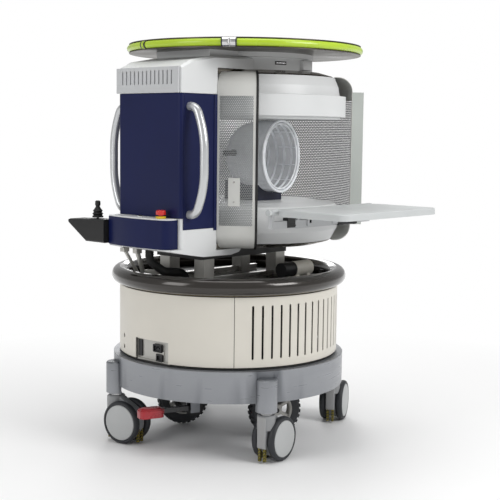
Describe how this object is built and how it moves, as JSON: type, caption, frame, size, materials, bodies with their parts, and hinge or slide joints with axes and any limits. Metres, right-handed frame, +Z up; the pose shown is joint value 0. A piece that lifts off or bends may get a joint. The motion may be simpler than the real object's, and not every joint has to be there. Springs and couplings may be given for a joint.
{
  "type": "mri scanner",
  "caption": "Wheeled bedside MRI scanner: C-shaped magnet with open bore and head coil on a round caster base, blue drive column, folding bridge and swinging guard ring.",
  "frame": {"origin": "on the floor, under the middle of the whole object's box", "axes": "+Z up, -Y towards the patient side with the folding bridge, -X towards the driving side with the column and console"},
  "size_m": [0.9496, 1.0627, 1.3935],
  "materials": {
    "silver_paint": "satin",
    "cream_paint": "satin",
    "dark_frame": "matte",
    "dark_steel": "brushed",
    "navy_paint": "satin",
    "white_shell": "satin",
    "light_grey": "matte",
    "dark_plastic": "matte",
    "black_rubber": "matte",
    "lime_foam": "satin",
    "red_plastic": "gloss",
    "clear_shell": "clear",
    "polished_steel": "polished",
    "magnet_iron": "matte",
    "carriage_metal": "satin",
    "caster_shell": "satin",
    "caster_wheel": "satin",
    "drive_tyre": "matte",
    "bridge_grey": "matte",
    "coil_navy": "satin",
    "motor_black": "matte"
  },
  "bodies": {
    "scanner": {"chassis_frame": "silver_paint", "cabinet_frame": "dark_frame", "panel_front": "cream_paint", "panel_right": "cream_paint", "panel_back": "cream_paint", "panel_left": "cream_paint", "socket_plate": "polished_steel", "handrail": "dark_steel", "electronics_rack": "dark_frame", "battery_pack": "dark_plastic", "guide_rails": "polished_steel", "carriages": "carriage_metal", "platform_beam": "dark_frame", "actuator": "cream_paint", "drive_motors": "motor_black", "lower_yoke": "polished_steel", "upper_yoke": "polished_steel", "yoke_column": "magnet_iron", "magnet_packs": "magnet_iron", "lower_pole_cover": "white_shell", "upper_pole_cover": "white_shell", "column_frame": "white_shell", "rear_panel": "navy_paint", "side_panels": "navy_paint", "vent_grille": "light_grey", "top_housing": "white_shell", "lower_housing": "white_shell", "console_body": "navy_paint", "console_top": "white_shell", "joystick_pod": "dark_plastic", "near_shield": "light_grey", "far_shield": "light_grey", "edge_trim": "black_rubber", "side_post": "cream_paint", "head_coil": "clear_shell", "coil_cradle": "coil_navy", "grab_handles": "light_grey", "ring_channel": "dark_plastic", "guard_fixed": "lime_foam", "hose": "black_rubber", "lift_struts": "carriage_metal", "bridge_hinge": "light_grey"},
    "bridge": {"bridge": "bridge_grey"},
    "pedal": {"pedal": "red_plastic"},
    "guard_arm_a": {"guard_arm_a": "lime_foam"},
    "guard_arm_b": {"guard_arm_b": "lime_foam"},
    "stop_button": {"stop_button": "red_plastic"},
    "console_button": {"console_button": "dark_plastic"},
    "joystick_gimbal": {"joystick_gimbal": "polished_steel"},
    "joystick_stick": {"joystick_stick": "black_rubber"},
    "drive_wheel_1": {"drive_wheel_1": "drive_tyre"},
    "drive_wheel_2": {"drive_wheel_2": "drive_tyre"},
    "caster_fork_1": {"caster_fork_1": "caster_shell"},
    "caster_fork_2": {"caster_fork_2": "caster_shell"},
    "caster_fork_3": {"caster_fork_3": "caster_shell"},
    "caster_fork_4": {"caster_fork_4": "caster_shell"},
    "caster_wheels_1": {"caster_wheels_1": "caster_wheel"},
    "caster_wheels_2": {"caster_wheels_2": "caster_wheel"},
    "caster_wheels_3": {"caster_wheels_3": "caster_wheel"},
    "caster_wheels_4": {"caster_wheels_4": "caster_wheel"}
  },
  "joints": [
    {"name": "caster_swivel_1", "type": "hinge", "parent": "scanner", "child": "caster_fork_1", "pos_m": [-0.21198, -0.25445, 0.16], "axis": [0, 0, 1], "continuous": true},
    {"name": "caster_roll_1", "type": "hinge", "parent": "caster_fork_1", "child": "caster_wheels_1", "pos_m": [-0.16457, -0.24694, 0.075], "axis": [0.1564, -0.9877, 0], "continuous": true},
    {"name": "caster_swivel_2", "type": "hinge", "parent": "scanner", "child": "caster_fork_2", "pos_m": [-0.38295, 0.30478, 0.16], "axis": [0, 0, 1], "continuous": true},
    {"name": "caster_roll_2", "type": "hinge", "parent": "caster_fork_2", "child": "caster_wheels_2", "pos_m": [-0.3742, 0.25758, 0.075], "axis": [-0.9833, -0.1822, 0], "continuous": true},
    {"name": "caster_swivel_3", "type": "hinge", "parent": "scanner", "child": "caster_fork_3", "pos_m": [0.17628, 0.47575, 0.16], "axis": [0, 0, 1], "continuous": true},
    {"name": "caster_roll_3", "type": "hinge", "parent": "caster_fork_3", "child": "caster_wheels_3", "pos_m": [0.12846, 0.47157, 0.075], "axis": [-0.0872, 0.9962, 0], "continuous": true},
    {"name": "caster_swivel_4", "type": "hinge", "parent": "scanner", "child": "caster_fork_4", "pos_m": [0.34725, -0.08348, 0.16], "axis": [0, 0, 1], "continuous": true},
    {"name": "caster_roll_4", "type": "hinge", "parent": "caster_fork_4", "child": "caster_wheels_4", "pos_m": [0.39002, -0.06168, 0.075], "axis": [0.454, -0.891, 0], "continuous": true},
    {"name": "drive_roll_1", "type": "hinge", "parent": "scanner", "child": "drive_wheel_1", "pos_m": [0.03963, -0.06625, 0.101], "axis": [-0.4695, -0.8829, 0], "continuous": true},
    {"name": "drive_roll_2", "type": "hinge", "parent": "scanner", "child": "drive_wheel_2", "pos_m": [-0.07533, 0.28755, 0.101], "axis": [-0.4695, -0.8829, 0], "continuous": true},
    {"name": "pedal_tip", "type": "hinge", "parent": "scanner", "child": "pedal", "pos_m": [-0.28585, 0.01765, 0.15], "axis": [-0.3584, -0.9336, 0], "range_deg": [0, 12], "stiffness_Nm_per_rad": 8, "springref_deg": -28.65},
    {"name": "bridge_fold", "type": "hinge", "parent": "scanner", "child": "bridge", "pos_m": [0.09115, -0.22735, 0.826], "axis": [-1, 0, 0], "range_deg": [0, 90]},
    {"name": "guard_swing_a", "type": "hinge", "parent": "scanner", "child": "guard_arm_a", "pos_m": [-0.28618, -0.13752, 1.377], "axis": [0, 0, -1], "range_deg": [0, 120]},
    {"name": "guard_swing_b", "type": "hinge", "parent": "scanner", "child": "guard_arm_b", "pos_m": [-0.35589, 0.19781, 1.377], "axis": [0, 0, 1], "range_deg": [0, 120]},
    {"name": "stop_press", "type": "slide", "parent": "scanner", "child": "stop_button", "axis": [0, 0, -1], "range_m": [0, 0.004], "stiffness_N_per_m": 1500, "springref_m": -0.002},
    {"name": "button_press", "type": "slide", "parent": "scanner", "child": "console_button", "axis": [0, 0, -1], "range_m": [0, 0.0025], "stiffness_N_per_m": 500, "springref_m": -0.001},
    {"name": "joystick_side", "type": "hinge", "parent": "scanner", "child": "joystick_gimbal", "pos_m": [-0.43785, 0.33765, 0.776], "axis": [1, 0, 0], "range_deg": [-15, 15], "stiffness_Nm_per_rad": 0.8},
    {"name": "joystick_drive", "type": "hinge", "parent": "joystick_gimbal", "child": "joystick_stick", "pos_m": [-0.43785, 0.33765, 0.776], "axis": [0, 1, 0], "range_deg": [-15, 15], "stiffness_Nm_per_rad": 0.8}
  ]
}
